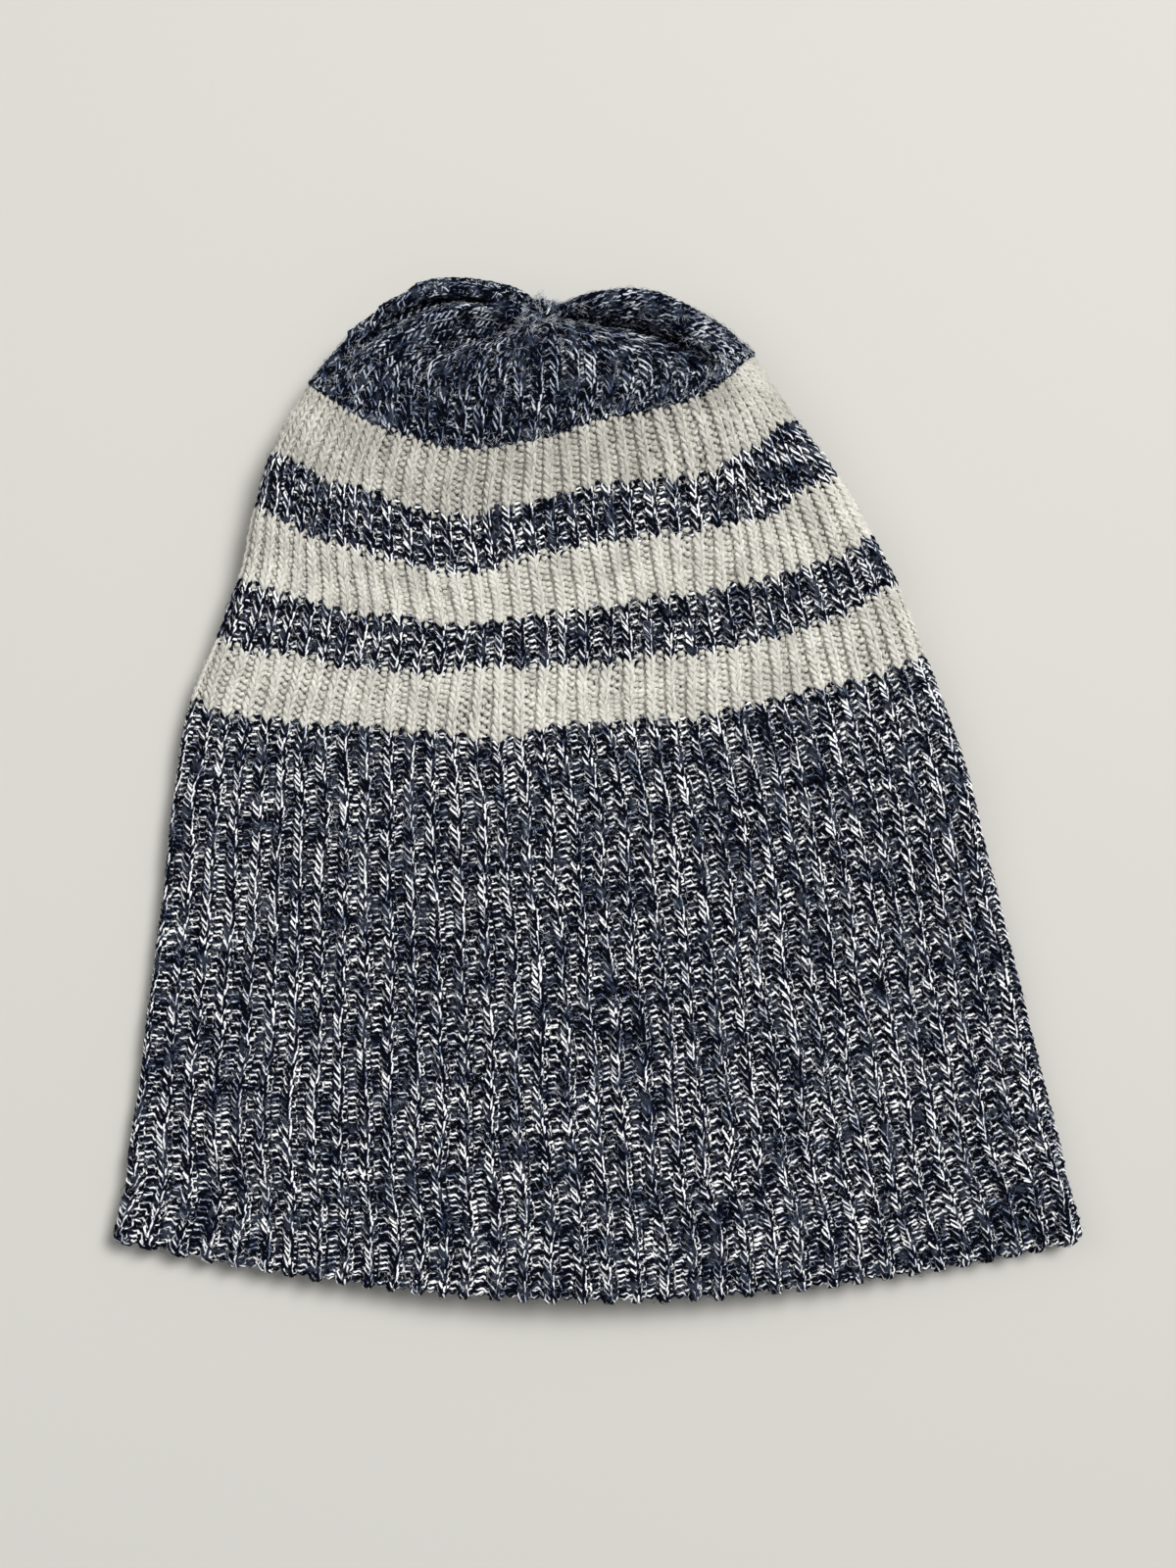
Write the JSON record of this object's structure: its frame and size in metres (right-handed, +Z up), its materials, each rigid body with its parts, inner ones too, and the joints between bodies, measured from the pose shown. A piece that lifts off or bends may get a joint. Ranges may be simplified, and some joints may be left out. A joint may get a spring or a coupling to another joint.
{
  "type": "knit beanie",
  "caption": "Slouchy rib-knit beanie lying flat, in dark marl yarn with pale stripes near the gathered crown and a turned-up hem inside.",
  "frame": {"origin": "centre of the underside box: the middle of the flat-lying hat, on the plane that it lies on", "axes": "+Z up from the plane it lies on, +Y towards the crown, -Y out of the mouth, +X to the hat's right as seen from above with the crown away"},
  "size_m": [0.2487, 0.2608, 0.022],
  "materials": {
    "marl_yarn": "fuzzy two-ply marl, dark blue and off-white",
    "grey_yarn": "soft matt wool",
    "sewing_thread": "matt thread",
    "label_tape": "smooth woven tape"
  },
  "bodies": {
    "root": {"hem_band": "marl_yarn", "hem_stitch_thread": "sewing_thread", "marl_body": "marl_yarn", "grey_stripe_lower": "grey_yarn", "marl_band_lower": "marl_yarn", "grey_stripe_middle": "grey_yarn", "marl_band_upper": "marl_yarn", "grey_stripe_upper": "grey_yarn", "crown_gore_front": "marl_yarn", "crown_gore_right": "marl_yarn", "crown_gore_back": "marl_yarn", "crown_gore_left": "marl_yarn", "crown_seam_front_left": "sewing_thread", "crown_seam_front_right": "sewing_thread", "crown_seam_back_left": "sewing_thread", "crown_seam_back_right": "sewing_thread", "crown_closure": "sewing_thread", "back_seam": "marl_yarn", "care_label": "label_tape", "care_label_stitching": "label_tape"}
  },
  "joints": []
}
